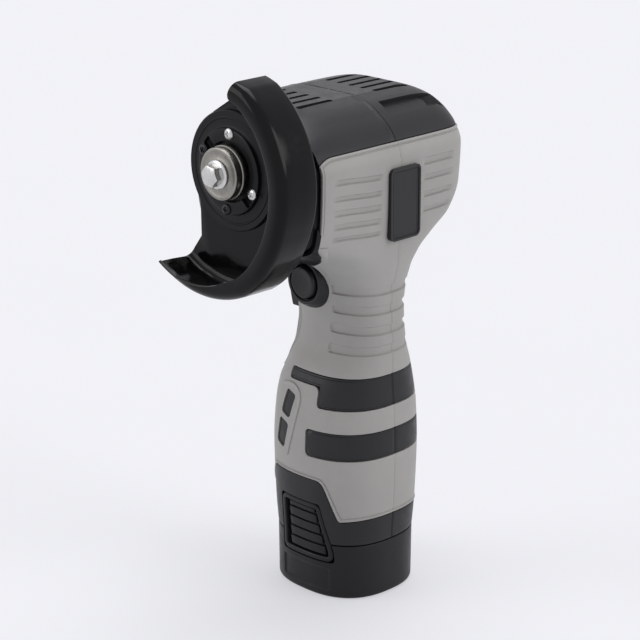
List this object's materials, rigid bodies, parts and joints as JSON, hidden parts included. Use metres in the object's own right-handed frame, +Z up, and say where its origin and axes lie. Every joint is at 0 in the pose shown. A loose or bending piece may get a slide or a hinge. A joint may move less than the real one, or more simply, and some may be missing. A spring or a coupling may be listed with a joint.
{
  "type": "cordless angle grinder",
  "caption": "Pistol-grip cordless grinder on a plug-in battery, with a turnable half-round disc guard, flanged spindle, trigger and lock button",
  "frame": {"origin": "centre of the battery's flat underside, on the floor that it stands on", "axes": "+Z up along the grip, -Y out of the spindle towards the disc, -X on the trigger side and +X on the palm side with the rating plate"},
  "size_m": [0.0881, 0.1171, 0.2362],
  "materials": {
    "black_plastic": "fine matte texture",
    "grey_soft_grip": "satin soft grip",
    "plate_plastic": "satin",
    "guard_paint": "gloss black",
    "retainer_paint": "semi-gloss black",
    "bright_zinc": "bright zinc plating",
    "flange_steel": "dull turned steel",
    "screw_steel": "bright",
    "spring_steel": "drawn wire and strip",
    "motor_steel": "rolled steel can",
    "fan_plastic": "natural nylon",
    "cell": "wrapped cell",
    "contact": "copper alloy",
    "circuit_board": "solder mask"
  },
  "bodies": {
    "battery": {"battery_case": "black_plastic", "battery_base": "black_plastic", "battery_cell_1": "cell", "battery_cell_2": "cell", "battery_cell_3": "cell", "battery_board": "circuit_board", "battery_terminal_minus": "contact", "battery_terminal_plus": "contact", "latch_spring_near": "spring_steel", "latch_spring_far": "spring_steel"},
    "tool": {"housing_near": "black_plastic", "housing_far": "black_plastic", "sleeve_near": "grey_soft_grip", "sleeve_far": "grey_soft_grip", "rating_plate": "plate_plastic", "housing_screw_1": "screw_steel", "housing_screw_2": "screw_steel", "housing_screw_3": "screw_steel", "housing_screw_4": "screw_steel", "housing_screw_5": "screw_steel", "nose_plate": "black_plastic", "guard_retainer": "retainer_paint", "retainer_screw_1": "bright_zinc", "retainer_screw_2": "bright_zinc", "retainer_screw_3": "bright_zinc", "retainer_screw_4": "bright_zinc", "motor_stator": "motor_steel", "front_bearing": "screw_steel", "rear_bearing": "screw_steel", "switch_body": "plate_plastic", "control_board": "circuit_board", "terminal_block": "fan_plastic", "trigger_spring": "spring_steel", "lock_spring": "spring_steel"},
    "spindle": {"spindle_rotor": "screw_steel", "inner_flange": "flange_steel", "outer_flange": "flange_steel", "flange_bolt": "bright_zinc", "cooling_fan": "fan_plastic"},
    "guard": {"guard": "guard_paint"},
    "trigger": {"trigger": "black_plastic"},
    "lock_button": {"lock_button": "black_plastic"},
    "latch_near": {"latch_near": "black_plastic"},
    "latch_far": {"latch_far": "black_plastic"}
  },
  "joints": [
    {"name": "tool_lift", "type": "slide", "parent": "battery", "child": "tool", "axis": [0, 0, 1], "range_m": [0, 0.06]},
    {"name": "spindle_spin", "type": "hinge", "parent": "tool", "child": "spindle", "pos_m": [-0.0107, 0, 0.1937], "axis": [0, -1, 0], "continuous": true},
    {"name": "guard_turn", "type": "hinge", "parent": "tool", "child": "guard", "pos_m": [-0.0107, -0.0554, 0.1937], "axis": [0, -1, 0], "range_deg": [-60, 60]},
    {"name": "trigger_press", "type": "slide", "parent": "tool", "child": "trigger", "axis": [1, 0, 0], "range_m": [0, 0.004], "stiffness_N_per_m": 1500, "springref_m": -0.003, "deforming": ["trigger_spring"]},
    {"name": "lock_press", "type": "slide", "parent": "tool", "child": "lock_button", "axis": [0, 1, 0], "range_m": [0, 0.003], "stiffness_N_per_m": 1200, "springref_m": -0.002, "deforming": ["lock_spring"]},
    {"name": "latch_near_press", "type": "slide", "parent": "battery", "child": "latch_near", "axis": [0, 1, 0], "range_m": [0, 0.0015], "stiffness_N_per_m": 2500, "springref_m": -0.001, "deforming": ["latch_spring_near"]},
    {"name": "latch_far_press", "type": "slide", "parent": "battery", "child": "latch_far", "axis": [0, -1, 0], "range_m": [0, 0.0015], "stiffness_N_per_m": 2500, "springref_m": -0.001, "deforming": ["latch_spring_far"]}
  ]
}
